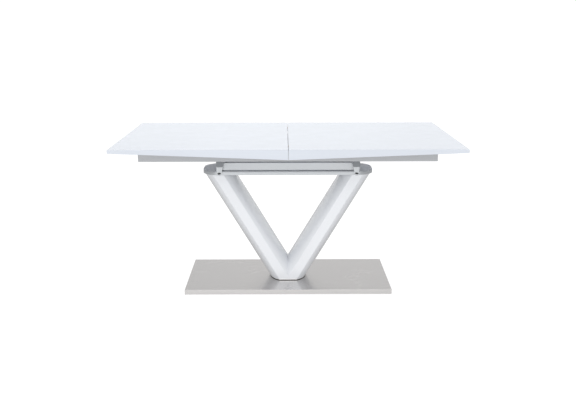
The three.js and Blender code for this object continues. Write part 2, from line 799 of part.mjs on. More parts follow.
const table = new THREE.Group();
const pedestal = new THREE.Group();
const carriage = new THREE.Group();
const leftHalf = new THREE.Group();
const rightHalf = new THREE.Group();
const pinion = new THREE.Group();
const latch = new THREE.Group();
const leaf = new THREE.Group();

buildBase(pedestal);
buildGasket(pedestal);
buildLegs(pedestal);
buildLegPlate(pedestal);
buildLowerRails(carriage);
buildCrossBars(carriage);
buildStraps(carriage);
buildLongRails(carriage);
buildPinionMount(carriage);
buildPinion(pinion);
buildHalves(leftHalf, rightHalf);
buildLatch(leftHalf, rightHalf, latch);
buildLeaf(leaf);
table.add(pedestal, carriage, leftHalf, rightHalf, pinion, latch, leaf);

export default table;
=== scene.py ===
"""Extending dining table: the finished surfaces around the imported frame.

Run as a script. Lengths are metres, +Z is up, and -Y is the front of the table.
"""

import json
import math

import bpy
from bpy.props import FloatProperty, FloatVectorProperty, IntProperty
from mathutils import Matrix, Vector


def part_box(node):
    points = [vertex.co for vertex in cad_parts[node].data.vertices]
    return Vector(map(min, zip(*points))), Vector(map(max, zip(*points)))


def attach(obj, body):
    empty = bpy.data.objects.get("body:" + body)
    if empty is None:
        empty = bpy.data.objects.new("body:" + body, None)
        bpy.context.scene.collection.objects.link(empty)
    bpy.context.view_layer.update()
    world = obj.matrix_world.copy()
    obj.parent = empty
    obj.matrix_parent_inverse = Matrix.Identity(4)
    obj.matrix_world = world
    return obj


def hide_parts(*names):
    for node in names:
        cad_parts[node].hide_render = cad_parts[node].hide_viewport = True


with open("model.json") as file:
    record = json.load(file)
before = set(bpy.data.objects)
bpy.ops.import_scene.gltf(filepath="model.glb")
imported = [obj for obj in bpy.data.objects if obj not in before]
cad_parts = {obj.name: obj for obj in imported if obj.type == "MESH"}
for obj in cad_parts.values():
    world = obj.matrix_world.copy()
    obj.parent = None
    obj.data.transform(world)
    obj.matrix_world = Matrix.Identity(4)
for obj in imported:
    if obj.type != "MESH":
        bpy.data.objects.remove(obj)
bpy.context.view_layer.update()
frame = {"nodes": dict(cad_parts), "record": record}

bl_info = {
    "name": "Extending dining table",
    "version": (1, 0, 0),
    "blender": (4, 5, 0),
    "location": "View3D > Sidebar > Table",
    "description": "Finishes the pieces of an extending table on a V pedestal",
    "category": "Object",
}

MM = 0.001
SAME_POINT = 0.01 * MM
SPECK = 0.005 * MM
HALF_GAP = 0.2 * MM
FLAT = math.radians(0.5)
RUNNER_SHARES = (0.05, 0.35, 0.65, 0.95)
FINISHED = "_finish"
ROUNDED = "rounded"


# ---------------------------------------------------------------- settings


def colour(name, default, description):
    return FloatVectorProperty(
        name=name, default=default, description=description, subtype="COLOR", size=3, min=0, max=1
    )


def length(name, default, description):
    return FloatProperty(
        name=name, default=default, description=description, unit="LENGTH", min=0
    )


class TableColours(bpy.types.PropertyGroup):
    """Base colours of the finishes, as linear values."""

    # lacquer and pedestal are one white lacquer: the boards' colour is set darker and the pedestal's
    # lighter to even out the light that falls on each, painted shade and painted light
    lacquer: colour("Lacquer", (0.755, 0.80, 0.875), "Gloss lacquer on the boards")
    pedestal: colour("Pedestal", (0.93, 0.95, 0.985), "Lacquer on the V pedestal")
    steel: colour("Steel", (0.63, 0.616, 0.611), "Brushed cladding of the base")
    silver: colour("Silver", (0.56, 0.58, 0.6), "Satin silver paint of the carriage")
    rail: colour("Rail", (0.56, 0.57, 0.585), "Grey paint of the long rails")
    # trim: the band round the feet is set bright to give the bright line along their bottom edge, a
    # painted highlight
    trim: colour("Trim", (0.86, 0.86, 0.86), "Bright band round the feet")
    zinc: colour("Zinc", (0.47, 0.48, 0.5), "Zinc plating on runners and plates")
    cap: colour("Caps", (0.27, 0.285, 0.3), "Moulded tube caps")
    moulding: colour("Moulding", (0.72, 0.72, 0.68), "Moulded racks and pinion")
    black: colour("Black", (0.018, 0.018, 0.02), "Black oxide on bolts and lever")
    rubber: colour("Rubber", (0.025, 0.025, 0.025), "Glides")
    fibreboard: colour("Fibreboard", (0.36, 0.235, 0.125), "Core board of the base")
    beech: colour("Beech", (0.56, 0.36, 0.2), "Turned dowels")
    floor: colour("Floor", (0.25, 0.25, 0.25), "Studio floor, before its glow")


class TableEdges(bpy.types.PropertyGroup):
    """How far the edges of each kind of piece are rounded."""

    board: length("Boards", 1.2 * MM, "Rounding of the lacquered boards")
    pedestal: length("Pedestal", 1.6 * MM, "Rounding of the pedestal's ridges")
    cladding: length("Cladding", 1.4 * MM, "Bend radius of the steel cladding")
    plate: length("Plates", 1.0 * MM, "Rounding of the leg plate")
    profile: length("Profiles", 0.5 * MM, "Rounding of rails, bars and straps")
    band_height: length("Band height", 4 * MM, "Height of the band round the feet")
    band_proud: length("Band proud", 1 * MM, "How far the band stands out")
    band_lift: length("Band lift", 0.2 * MM, "From the underside of the feet up to the band")
    hole_reach: length("Hole reach", 65 * MM, "The bolt holes lie nearer than this to the middle")
    small: length("Small pieces", 0.4 * MM, "Rounding of moulded and turned pieces")
    steps: IntProperty(
        name="Steps", default=3, min=1, max=6, description="Faces across each rounding"
    )


class TableStage(bpy.types.PropertyGroup):
    """Camera and studio light."""

    lens: FloatProperty(
        name="Lens", default=48.71, min=10, max=200, unit="CAMERA", description="Focal length"
    )
    eye: FloatVectorProperty(
        name="Eye", default=(-0.0224, -3.8405, 1.326), subtype="XYZ", description="Camera place"
    )
    turn: FloatProperty(
        name="Turn", default=0.0060, subtype="ANGLE", description="Camera turned about +Z"
    )
    tilt: FloatProperty(
        name="Tilt", default=0.2376, subtype="ANGLE", description="Camera tipped downwards"
    )
    roll: FloatProperty(
        name="Roll", default=-0.0012, subtype="ANGLE", description="Camera rolled about its view"
    )
    sky: FloatProperty(name="Sky", default=0.84, min=0, description="Light from the horizon")
    dimming: FloatProperty(
        name="Dimming", default=0.24, min=0, description="How much less light comes from overhead"
    )
    ground: FloatProperty(name="Ground", default=0.49, min=0, description="Light from below it")
    back: FloatProperty(name="Back", default=34, min=0, unit="POWER", description="Rear soft box")
    key: FloatProperty(name="Key", default=34, min=0, unit="POWER", description="Top soft box")
    fill: FloatProperty(name="Fill", default=90, min=0, unit="POWER", description="Front soft box")
    floor_glow: FloatProperty(
        name="Floor glow", default=0.9, min=0, description="Lifts the floor to paper white"
    )
    floor_radius: length("Floor radius", 30, "Radius of the studio floor")
    rim: length("Rim", 14, "Height of the floor's turned-up rim")


class TableFixings(bpy.types.PropertyGroup):
    """Small screws under the boards, and the key sockets in the bolts."""

    screw_radius: length("Screw radius", 3.6 * MM, "Radius of a small screw's head")
    screw_height: length("Screw height", 2.2 * MM, "Height of a small screw's head")
    flange: length("Flange", 4 * MM, "Thickness of the flanges that the screws hold")
    latch_flange: length("Latch plates", 3.7 * MM, "Thickness of the plates of the latch")
    flange_inset: length("Flange inset", 5 * MM, "From a runner's edge to its screws")
    rack_inset: length("Rack inset", 8 * MM, "From a rack's back to its screws")
    rack_first: length("First rack screw", 20 * MM, "From a rack's outer end to its first screw")
    rack_second: length("Second rack screw", 60 * MM, "From a rack's outer end to its second one")
    latch_inset: length("Latch inset", 6 * MM, "From a latch plate's edges to its screws")
    key: length("Key", 6 * MM, "Size of the sockets in the leg and plate bolts")
    strap_key: length("Strap key", 5 * MM, "Size of the sockets in the strap bolts")
    key_depth: length("Key depth", 2.6 * MM, "Depth of the sockets")


# ---------------------------------------------------------------- shader writing


class Value:
    """A number in a shader. Arithmetic on it adds Math nodes."""

    def __init__(self, shader, socket):
        self.shader = shader
        self.socket = socket

    def _math(self, operation, *terms):
        return self.shader.node("ShaderNodeMath", {"operation": operation}, dict(enumerate(terms)))

    def __add__(self, other):
        return self._math("ADD", self, other)

    def __radd__(self, other):
        return self._math("ADD", other, self)

    def __sub__(self, other):
        return self._math("SUBTRACT", self, other)

    def __rsub__(self, other):
        return self._math("SUBTRACT", other, self)

    def __mul__(self, other):
        return self._math("MULTIPLY", self, other)

    def __rmul__(self, other):
        return self._math("MULTIPLY", other, self)


class NodeWriter:
    """Adds nodes to one node tree."""

    def __init__(self, tree):
        self.tree = tree

    def feed(self, socket, value):
        if isinstance(value, Value):
            self.tree.links.new(value.socket, socket)
        else:
            socket.default_value = value

    def node(self, kind, choices=None, inputs=None, output=0):
        """Adds a node: its choices first, then the values or links of its sockets."""
        made = self.tree.nodes.new(kind)
        for choice, value in (choices or {}).items():
            if choice == "stops":
                self._stops(made.color_ramp, value)
            else:
                setattr(made, choice, value)
        for socket, value in (inputs or {}).items():
            self.feed(made.inputs[socket], value)
        return Value(self, made.outputs[output])

    @staticmethod
    def _stops(ramp, stops):
        while len(ramp.elements) < len(stops):
            ramp.elements.new(1.0)
        for element, (position, shade) in zip(ramp.elements, stops):
            element.position = position
            element.color = (shade, shade, shade, 1) if isinstance(shade, float) else shade

    def range(self, value, low, high, to_low, to_high):
        """Maps low..high onto to_low..to_high and holds it at the ends."""
        return self.node(
            "ShaderNodeMapRange",
            {"clamp": True, "interpolation_type": "SMOOTHSTEP"},
            {0: value, 1: low, 2: high, 3: to_low, 4: to_high},
        )


class Shader(NodeWriter):
    """One material, written node by node from its Principled shader."""

    def __init__(self, name, roughness=0.5, metallic=0.0, **constants):
        self.material = bpy.data.materials.new(name + FINISHED)
        self.material.use_nodes = True
        super().__init__(self.material.node_tree)
        self.surface = self.tree.nodes["Principled BSDF"]
        self.surface.inputs["Roughness"].default_value = roughness
        self.surface.inputs["Metallic"].default_value = metallic
        for socket, value in constants.items():
            self.surface.inputs[socket.replace("_", " ")].default_value = value
        self.place = self.node("ShaderNodeTexCoord", output="Object")

    def stretched(self, across):
        """Object coordinates scaled by a vector, for grain and brushing."""
        return self.node("ShaderNodeMapping", {}, {"Vector": self.place, "Scale": across})

    def noise(self, scale, detail=3.0, roughness=0.5, across=None, distortion=0.0):
        vector = self.stretched(across) if across else self.place
        return self.node(
            "ShaderNodeTexNoise",
            {},
            {
                "Vector": vector,
                "Scale": scale,
                "Detail": detail,
                "Roughness": roughness,
                "Distortion": distortion,
            },
        )

    def edge_wear(self, amount):
        """Highest along the middle of rounded edges, none on flat faces, broken up by noise."""
        edge = self.node("ShaderNodeAttribute", {"attribute_name": ROUNDED}, output="Fac")
        return edge * self.range(self.noise(90.0), 0.35, 0.62, 0.3, 1.0) * amount

    def mix(self, factor, first, second):
        return self.node(
            "ShaderNodeMix",
            {"data_type": "RGBA", "clamp_factor": True},
            {0: factor, 6: first, 7: second},
            output=2,
        )

    def colour(self, value):
        self.feed(self.surface.inputs["Base Color"], value)

    def roughness(self, value):
        self.feed(self.surface.inputs["Roughness"], value)

    def metallic(self, value):
        self.feed(self.surface.inputs["Metallic"], value)

    def bump(self, height, distance, strength=1.0):
        bumped = self.node(
            "ShaderNodeBump", {}, {"Strength": strength, "Distance": distance, "Height": height}
        )
        self.feed(self.surface.inputs["Normal"], bumped)


def opaque(shade, factor=1.0):
    """A colour property, made lighter or darker, as a shader colour."""
    return tuple(min(1.0, part * factor) for part in shade) + (1.0,)


# ---------------------------------------------------------------- finishes


def gloss_lacquer(name, base, coat):
    """Sprayed and polished lacquer: faint cloudiness, orange peel and fine polishing haze."""
    shader = Shader(name, Coat_Weight=coat, Coat_Roughness=0.06, IOR=1.5)
    clouds = shader.noise(2.3, detail=2.0)
    haze = shader.noise(14.0, detail=4.0, roughness=0.6)
    specks = shader.range(shader.noise(420.0, detail=1.0), 0.72, 0.8, 0.0, 1.0)
    tone = shader.range(clouds, 0.3, 0.7, 0.0, 1.0)
    body = shader.mix(tone, opaque(base, 0.985), opaque(base, 1.01))
    worn = shader.edge_wear(0.5)
    shader.colour(shader.mix(worn + specks * 0.04, body, opaque(base, 0.93)))
    shader.roughness(0.2 + shader.range(haze, 0.35, 0.7, 0.0, 0.03) + worn * 0.25)
    peel = shader.noise(170.0, detail=1.0)
    shader.bump(peel, 0.00001, 0.25)


def brushed_steel(name, base):
    """Sheet brushed along X: fine broken lines, soft smudges, and brighter bends."""
    shader = Shader(name, metallic=1.0)
    lines = shader.noise(1.0, detail=4.0, roughness=0.7, across=(9.0, 1500.0, 1500.0))
    broad = shader.noise(1.0, detail=2.0, roughness=0.5, across=(2.0, 160.0, 160.0))
    smudge = shader.noise(4.5, detail=5.0, roughness=0.62, distortion=0.6)
    streak = shader.range(lines, 0.3, 0.7, 0.0, 1.0)
    shade = shader.mix(streak * 0.6 + broad * 0.4, opaque(base, 0.93), opaque(base, 1.07))
    bright = shader.edge_wear(0.8)
    shader.colour(shader.mix(bright, shade, opaque(base, 1.3)))
    marks = shader.range(smudge, 0.45, 0.75, 0.0, 0.07)
    shader.roughness(0.18 + streak * 0.06 + marks - bright * 0.05)
    shader.bump(lines, 0.000012, 0.5)


def silver_paint(name, base, flake_share=0.75, painted_top_light=0.0):
    """Satin metallic paint: fine flake, slight texture and rubbed corners.

    flake_share is how metallic the paint is. settled lightens upward faces and makes them
    less mirror-like: painted light on the tops.
    """
    shader = Shader(name)
    facing = shader.node("ShaderNodeNewGeometry", output="Normal")
    upward = shader.node("ShaderNodeSeparateXYZ", {}, {0: facing}, output=2)
    # painted light: upward faces are lightened and made less metallic, standing in for light on the
    # tops
    painted_light_on_tops = shader.range(upward, 0.7, 0.95, 0.0, painted_top_light)
    flake = shader.noise(2600.0, detail=1.0)
    texture = shader.noise(520.0, detail=3.0, roughness=0.6)
    drift = shader.noise(6.0, detail=3.0)
    tone = shader.range(flake, 0.35, 0.7, 0.0, 0.6) + drift * 0.4
    body = shader.mix(tone, opaque(base, 0.92), opaque(base, 1.1))
    worn = shader.edge_wear(0.7)
    # painted light: the upward faces are mixed towards a light grey
    body = shader.mix(painted_light_on_tops, body, (0.95, 0.95, 0.97, 1))
    shader.colour(shader.mix(worn, body, opaque(base, 1.35)))
    shader.metallic(flake_share - painted_light_on_tops * 0.65)
    shader.roughness(0.36 + drift * 0.08 + flake * 0.06 - worn * 0.1)
    shader.bump(texture, 0.00005, 0.4)


def drawn_metal(name, base, along):
    """Plated or drawn metal with die lines along one axis."""
    shader = Shader(name, metallic=1.0)
    fine = tuple(6.0 if axis == along else 900.0 for axis in range(3))
    lines = shader.noise(1.0, detail=3.0, roughness=0.6, across=fine)
    bloom = shader.noise(38.0, detail=4.0, roughness=0.65)
    shade = shader.mix(lines * 0.5 + bloom * 0.5, opaque(base, 0.86), opaque(base, 1.14))
    worn = shader.edge_wear(0.6)
    shader.colour(shader.mix(worn, shade, opaque(base, 1.35)))
    shader.roughness(0.3 + lines * 0.1 + shader.range(bloom, 0.4, 0.7, 0.0, 0.12))
    shader.bump(lines, 0.00003, 0.4)


def black_oxide(name, base):
    shader = Shader(name, metallic=0.55)
    oil = shader.noise(45.0, detail=4.0)
    worn = shader.edge_wear(0.8)
    body = shader.mix(oil, opaque(base, 0.7), opaque(base, 1.6))
    shader.colour(shader.mix(worn, body, (0.22, 0.215, 0.21, 1)))
    shader.roughness(0.32 + oil * 0.16)
    shader.bump(shader.noise(700.0, detail=2.0), 0.00004, 0.35)


def moulded(name, base, stipple, roughness):
    """Moulded plastic: fine stipple, gentle flow shading and scuffed edges."""
    shader = Shader(name, IOR=1.47)
    flow = shader.noise(9.0, detail=3.0, distortion=1.2)
    body = shader.mix(flow, opaque(base, 0.93), opaque(base, 1.07))
    worn = shader.edge_wear(0.5)
    shader.colour(shader.mix(worn, body, opaque(base, 1.25)))
    shader.roughness(roughness + flow * 0.08 + worn * 0.1)
    shader.bump(shader.noise(stipple, detail=2.0), 0.00006, 0.45)


def rubber(name, base):
    shader = Shader(name, IOR=1.45)
    dust = shader.noise(60.0, detail=5.0, roughness=0.7)
    body = shader.mix(shader.range(dust, 0.5, 0.75, 0.0, 0.5), opaque(base), (0.16, 0.155, 0.15, 1))
    shader.colour(body)
    shader.roughness(0.72 + dust * 0.2)
    shader.bump(shader.noise(900.0, detail=2.0), 0.00008, 0.5)


def fibreboard(name, base):
    """Raw fibreboard: matted fibres with darker flecks."""
    shader = Shader(name)
    fibres = shader.noise(240.0, detail=5.0, roughness=0.75)
    flecks = shader.range(shader.noise(900.0, detail=2.0), 0.6, 0.72, 0.0, 1.0)
    body = shader.mix(fibres, opaque(base, 0.75), opaque(base, 1.25))
    shader.colour(shader.mix(flecks * 0.5, body, opaque(base, 0.45)))
    shader.roughness(0.86 + fibres * 0.1)
    shader.bump(fibres, 0.0002, 0.5)


def beech(name, base):
    """Turned beech with grain running along the floor plane and short dark rays."""
    shader = Shader(name)
    grain = shader.noise(1.0, detail=4.0, roughness=0.6, across=(160.0, 160.0, 900.0))
    rays = shader.range(
        shader.noise(1.0, detail=2.0, across=(500.0, 500.0, 2200.0)), 0.6, 0.7, 0.0, 1.0
    )
    body = shader.mix(grain, opaque(base, 0.82), opaque(base, 1.12))
    shader.colour(shader.mix(rays * 0.5, body, opaque(base, 0.5)))
    shader.roughness(0.5 + grain * 0.2)
    shader.bump(grain, 0.00008, 0.4)


def paper_floor(name, base, glow):
    """Plain pale studio floor, clear from below so that the underside can be seen."""
    shader = Shader(name, roughness=0.9)
    soft = shader.noise(1.4, detail=2.0)
    shade = shader.mix(soft, opaque(base, 0.995), opaque(base, 1.005))
    shader.colour(shade)
    shader.surface.inputs["Emission Color"].default_value = (1, 1, 1, 1)
    shader.surface.inputs["Emission Strength"].default_value = glow
    shader.surface.inputs["Specular IOR Level"].default_value = 0.0
    below = shader.node("ShaderNodeNewGeometry", output="Backfacing")
    clear = shader.node("ShaderNodeBsdfTransparent")
    paper = Value(shader, shader.surface.outputs[0])
    both = shader.node("ShaderNodeMixShader", {}, {0: below, 1: paper, 2: clear})
    shader.feed(shader.tree.nodes["Material Output"].inputs["Surface"], both)
    return shader.material


def make_finishes():
    """A material for each slot of the record, and for five of their variants."""
    colours = bpy.context.scene.table_colours
    gloss_lacquer("white_lacquer", colours.lacquer, 0.2)
    # the same white lacquer as the boards, made lighter: painted light on the pedestal
    gloss_lacquer("pedestal_lacquer", colours.pedestal, 1.0)
    brushed_steel("brushed_steel", colours.steel)
    silver_paint("silver_metal", colours.silver)
    # the leg plate's paint, with painted light on its top faces
    silver_paint("plate_paint", colours.silver, painted_top_light=1.0)
    silver_paint("rail_paint", colours.rail, flake_share=0.12)
    drawn_metal("zinc_steel", colours.zinc, along=0)
    drawn_metal("zinc_bolt", colours.zinc, along=2)
    # the band round the feet: a painted highlight along their bottom edge
    drawn_metal("bright_trim", colours.trim, along=0)
    black_oxide("black_steel", colours.black)
    moulded("grey_plastic", colours.cap, 1400.0, 0.48)
    moulded("white_plastic", colours.moulding, 700.0, 0.36)
    fibreboard("core_board", colours.fibreboard)
    beech("beech", colours.beech)
    rubber("rubber", colours.rubber)


def finish_named(name):
    return bpy.data.materials[name + FINISHED]


# ---------------------------------------------------------------- modelling


SLOT_OF = {row["node"]: row["material_slot"] for row in frame["record"]["subparts"]}
BODY_OF = {
    node: body for body, nodes in frame["record"]["behaviour"]["bodies"].items() for node in nodes
}


def pick(*pieces):
    """Selects only these objects and makes the last one active."""
    if bpy.context.object and bpy.context.object.mode != "OBJECT":
        bpy.ops.object.mode_set(mode="OBJECT")
    bpy.ops.object.select_all(action="DESELECT")
    for one in pieces:
        one.select_set(True)
    bpy.context.view_layer.objects.active = pieces[-1]


def new_piece(name):
    """The object that a primitive operator has just added, named."""
    made = bpy.context.object
    made.name = name
    made.data.name = name
    return made


def copy_of(node, name):
    """A loose copy of a CAD node's mesh, merged and with its flat faces made whole."""
    mesh = frame["nodes"][node].data.copy()
    made = bpy.data.objects.new(name, mesh)
    bpy.context.scene.collection.objects.link(made)
    mesh.name = name
    mesh.materials.clear()
    pick(made)
    if mesh.has_custom_normals:
        bpy.ops.mesh.customdata_custom_splitnormals_clear()
    bpy.ops.object.mode_set(mode="EDIT")
    bpy.ops.mesh.select_all(action="SELECT")
    bpy.ops.mesh.remove_doubles(threshold=SAME_POINT)
    bpy.ops.mesh.dissolve_limited(angle_limit=FLAT)
    bpy.ops.object.mode_set(mode="OBJECT")
    return made


def select_faces(piece, wanted):
    """Leaves piece in edit mode with only the faces that wanted() says yes to."""
    pick(piece)
    bpy.ops.object.mode_set(mode="EDIT")
    bpy.ops.mesh.select_mode(type="FACE")
    bpy.ops.mesh.select_all(action="DESELECT")
    bpy.ops.object.mode_set(mode="OBJECT")
    for face in piece.data.polygons:
        face.select = wanted(face)
    bpy.ops.object.mode_set(mode="EDIT")


def round_edges(piece, width, sharper_than=30.0, steps=None):
    """Rounds every edge that turns by more than an angle, and shades what is left smooth."""
    edges = bpy.context.scene.table_edges
    pick(piece)
    piece.data.materials.clear()
    piece.data.materials.append(None)
    piece.data.materials.append(None)
    bevel = piece.modifiers.new("rounding", "BEVEL")
    bevel.width = width
    bevel.segments = steps or edges.steps
    bevel.limit_method = "ANGLE"
    bevel.angle_limit = math.radians(sharper_than)
    bevel.miter_outer = "MITER_ARC"
    bevel.harden_normals = False
    bevel.material = 1
    bpy.ops.object.modifier_apply(modifier=bevel.name)
    bpy.ops.object.mode_set(mode="EDIT")
    bpy.ops.mesh.select_all(action="SELECT")
    bpy.ops.mesh.remove_doubles(threshold=SPECK)
    bpy.ops.mesh.dissolve_degenerate(threshold=SPECK)
    bpy.ops.object.mode_set(mode="OBJECT")
    mark_rounding(piece.data)
    shade(piece, sharper_than)


def shade(piece, sharper_than):
    """Smooth shading that keeps large faces flat and sharp edges sharp."""
    pick(piece)
    bpy.ops.object.shade_smooth_by_angle(angle=math.radians(sharper_than))
    flatten = piece.modifiers.new("flat_faces", "WEIGHTED_NORMAL")
    flatten.keep_sharp = True
    bpy.ops.object.modifier_apply(modifier=flatten.name)


def mark_rounding(mesh):
    """Turns the second material's faces into an attribute: 1 at points that only they share."""
    share = [1.0] * len(mesh.vertices)
    for face in mesh.polygons:
        if face.material_index == 0:
            for index in face.vertices:
                share[index] = 0.0
        face.material_index = 0
    mark = mesh.attributes.new(ROUNDED, "FLOAT", "POINT")
    mark.data.foreach_set("value", share)


def carve(piece, cutter):
    """Cuts one object out of another and removes the cutter."""
    pick(piece)
    hollow = piece.modifiers.new("carving", "BOOLEAN")
    hollow.operation = "DIFFERENCE"
    hollow.solver = "EXACT"
    hollow.object = cutter
    bpy.ops.object.modifier_apply(modifier=hollow.name)
    bpy.data.objects.remove(cutter)


def put(piece, body, slot, finish=None, stands_for=()):
    """Finish, body, slot and the CAD nodes that the piece stands for."""
    piece.data.materials.clear()
    piece.data.materials.append(finish_named(finish or slot))
    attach(piece, body)
    if stands_for:
        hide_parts(*stands_for)
    return piece


def finish_node(node, width, sharper_than=30.0, finish=None):
    """A rounded copy of a CAD node takes the node's place."""
    piece = copy_of(node, node + FINISHED)
    round_edges(piece, width, sharper_than)
    return put(piece, BODY_OF[node], SLOT_OF[node], finish, [node])


def nodes_like(*stems):
    return [node for node in sorted(SLOT_OF) if node.startswith(stems)]


def middle(node):
    low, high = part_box(node)
    return (low + high) / 2


def hexagon_cutter(centre, direction, across, depth):
    """A hexagon key's shape, sunk into a head from its outer face."""
    turn = direction.to_track_quat("Z", "Y").to_euler()
    bpy.ops.object.select_all(action="DESELECT")
    bpy.ops.mesh.primitive_cylinder_add(
        vertices=6, radius=across / 2, depth=2 * depth, location=centre, rotation=turn
    )
    return new_piece("key_cutter")


def socket_bolt(node, direction, across, finish=None):
    """A bolt with a rounded head and a hexagon socket in it."""
    edges = bpy.context.scene.table_edges
    depth = bpy.context.scene.table_fixings.key_depth
    low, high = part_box(node)
    centre = (low + high) / 2
    reach = Vector(abs(d) for d in direction).dot(high - low) / 2
    piece = copy_of(node, node + FINISHED)
    round_edges(piece, 2 * edges.small, 40.0)
    carve(piece, hexagon_cutter(centre + direction * reach, direction, across, depth))
    shade(piece, 35)
    return put(piece, BODY_OF[node], SLOT_OF[node], finish, [node])


def pan_head(name, radius, height):
    """A pan head with a cross recess, on the origin and facing +Z."""
    bpy.ops.object.select_all(action="DESELECT")
    bpy.ops.mesh.primitive_cylinder_add(
        vertices=20, radius=radius, depth=height, location=(0, 0, height / 2)
    )
    head = new_piece(name)
    select_faces(head, lambda face: face.normal.z > 0.9)
    bpy.ops.mesh.inset(thickness=0.3 * radius, depth=0.3 * height)
    bpy.ops.object.mode_set(mode="OBJECT")
    round_edges(head, 0.12 * radius, 20.0, steps=2)
    for turn in (0, math.pi / 2):
        bpy.ops.object.select_all(action="DESELECT")
        bpy.ops.mesh.primitive_cube_add(
            size=1, location=(0, 0, 1.3 * height), rotation=(0, 0, turn + math.pi / 5)
        )
        bar = new_piece("cross_cutter")
        bar.scale = (1.1 * radius, 0.24 * radius, 1.5 * height)
        carve(head, bar)
    return head


def scatter(pattern, name, places, turn, body, slot, finish):
    """One object made of copies of a pattern, each with its own mesh, then joined."""
    copies = []
    for place in places:
        made = bpy.data.objects.new(name, pattern.data.copy())
        bpy.context.scene.collection.objects.link(made)
        made.data.transform(Matrix.Translation(place) @ turn.to_matrix().to_4x4())
        copies.append(made)
    pick(*copies)
    if len(copies) > 1:
        bpy.ops.object.join()
    made = new_piece(name)
    shade(made, 35)
    return put(made, body, slot, finish)


# ---------------------------------------------------------------- operators


class TABLE_OT_stage(bpy.types.Operator):
    """Lays the studio floor and sets the soft boxes, the sky and the camera"""

    bl_idname = "table.stage"
    bl_label = "Stage"

    def execute(self, context):
        colours = context.scene.table_colours
        stage = context.scene.table_stage
        bpy.ops.object.select_all(action="DESELECT")
        bpy.ops.mesh.primitive_circle_add(vertices=96, radius=stage.floor_radius, fill_type="NGON")
        floor = new_piece("studio_floor")
        bpy.ops.object.mode_set(mode="EDIT")
        bpy.ops.mesh.select_all(action="SELECT")
        bpy.ops.mesh.region_to_loop()
        bpy.ops.mesh.extrude_region_move(TRANSFORM_OT_translate={"value": (0, 0, stage.rim)})
        bpy.ops.object.mode_set(mode="OBJECT")
        floor.data.materials.append(paper_floor("studio_floor", colours.floor, stage.floor_glow))
        floor.visible_diffuse = False
        floor.visible_glossy = False
        floor.visible_shadow = False
        self.soft_box("key_light", (-0.2, 0.5, 3.2), (0, 0.1, 0.7), 2.6, stage.key)
        self.soft_box("back_light", (0.4, 3.4, 4.2), (0, 0, 0.5), 3.0, stage.back)
        self.soft_box("fill_light", (-0.3, -4.6, 1.06), (0, 0, 1.06), 5.3, stage.fill)
        context.scene.world = self.surroundings(stage)
        context.scene.view_settings.view_transform = "Standard"
        self.camera(context, stage)
        return {"FINISHED"}

    @staticmethod
    def soft_box(name, place, aim, size, power):
        """A square area light that looks at a point."""
        light = bpy.data.lights.new(name, "AREA")
        light.size = size
        light.energy = power
        holder = bpy.data.objects.new(name, light)
        holder.location = place
        holder.rotation_euler = (Vector(aim) - Vector(place)).to_track_quat("-Z", "Y").to_euler()
        bpy.context.scene.collection.objects.link(holder)

    @staticmethod
    def surroundings(stage):
        """White all round, brightest at the horizon and dimmer overhead and below."""
        world = bpy.data.worlds.new("studio_sky")
        world.use_nodes = True
        sky = NodeWriter(world.node_tree)
        direction = sky.node("ShaderNodeTexCoord", output="Generated")
        height = sky.node("ShaderNodeSeparateXYZ", {}, {0: direction}, output=2)
        background = world.node_tree.nodes["Background"]
        background.inputs["Color"].default_value = (1, 1, 1, 1)
        rising = sky.range(height, -0.2, 0.1, stage.ground, stage.sky)
        sky.feed(background.inputs["Strength"], rising - sky.range(height, 0.15, 0.6, 0, stage.dimming))
        return world

    @staticmethod
    def camera(context, stage):
        lens = bpy.data.cameras.new("camera")
        lens.lens = stage.lens
        lens.clip_start = 0.05
        lens.clip_end = 100
        camera = bpy.data.objects.new("camera", lens)
        context.scene.collection.objects.link(camera)
        right, ahead, up = (
            Matrix.Rotation(stage.roll, 3, "Y")
            @ Matrix.Rotation(stage.tilt, 3, "X")
            @ Matrix.Rotation(stage.turn, 3, "Z")
        )
        aim = Matrix((right, up, -ahead)).transposed().to_4x4()
        camera.matrix_world = Matrix.Translation(stage.eye) @ aim
        context.scene.camera = camera


class TABLE_OT_boards(bpy.types.Operator):
    """Rounds and lacquers the two half tops and the stored leaf"""

    bl_idname = "table.boards"
    bl_label = "Boards"

    def execute(self, context):
        edges = bpy.context.scene.table_edges
        for node in ("left_top", "right_top", "extension_leaf"):
            finish_node(node, edges.board)
        for node in nodes_like("top_dowel", "leaf_dowel"):
            finish_node(node, 2 * edges.small, 40.0)
        return {"FINISHED"}


class TABLE_OT_pedestal(bpy.types.Operator):
    """Joins the two legs into one V with softened ridges"""

    bl_idname = "table.pedestal"
    bl_label = "Pedestal"

    def execute(self, context):
        edges = bpy.context.scene.table_edges
        legs = [copy_of(node, node + FINISHED) for node in ("left_leg", "right_leg")]
        for leg in legs:
            points = leg.data.vertices
            select_faces(leg, lambda f: all(abs(points[i].co.x) < HALF_GAP for i in f.vertices))
            bpy.ops.mesh.delete(type="FACE")
            bpy.ops.object.mode_set(mode="OBJECT")
            for point in leg.data.vertices:
                if abs(point.co.x) < HALF_GAP:
                    point.co.x = 0.0
        pick(*legs)
        bpy.ops.object.join()
        pedestal = new_piece("v_pedestal")
        bpy.ops.object.mode_set(mode="EDIT")
        bpy.ops.mesh.select_all(action="SELECT")
        bpy.ops.mesh.remove_doubles(threshold=5 * SAME_POINT)
        bpy.ops.mesh.dissolve_limited(angle_limit=FLAT)
        bpy.ops.mesh.normals_make_consistent(inside=False)
        bpy.ops.object.mode_set(mode="OBJECT")
        round_edges(pedestal, edges.pedestal, 16.0)
        put(pedestal, "frame", "white_lacquer", "pedestal_lacquer", ["left_leg", "right_leg"])
        return {"FINISHED"}


